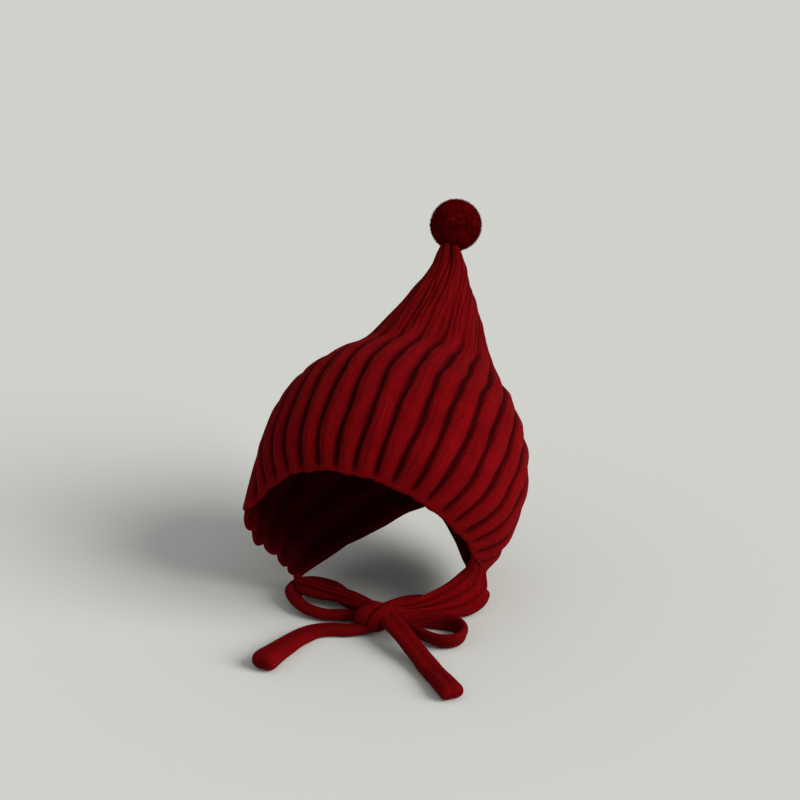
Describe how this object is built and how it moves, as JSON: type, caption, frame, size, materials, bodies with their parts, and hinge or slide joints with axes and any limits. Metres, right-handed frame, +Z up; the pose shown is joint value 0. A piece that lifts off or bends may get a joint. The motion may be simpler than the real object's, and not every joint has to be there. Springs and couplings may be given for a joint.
{
  "type": "knit elf hat",
  "caption": "Baby's rib-knit pixie bonnet drawn up and back to a point with a clipped pompom, its flat knitted ties fastened in a bow under the face opening.",
  "frame": {"origin": "inside of the crown, where it sits on top of the wearer's head", "axes": "+Z up along the wearer's head, -Y the way the wearer's face looks, +X to the wearer's left"},
  "size_m": [0.1478, 0.2268, 0.2006],
  "materials": {
    "rib_knit": "matte wool-like rib knitting",
    "pompom_pile": "matte clipped yarn pile",
    "tie_knit": "matte flat knitted cord"
  },
  "bodies": {
    "root": {"knitted_cap": "rib_knit", "pompom": "pompom_pile", "chin_tie_right": "tie_knit", "chin_tie_left": "tie_knit", "bow_knot": "tie_knit", "bow_loop_right": "tie_knit", "bow_loop_left": "tie_knit", "bow_tail_right": "tie_knit", "bow_tail_left": "tie_knit"}
  },
  "joints": []
}
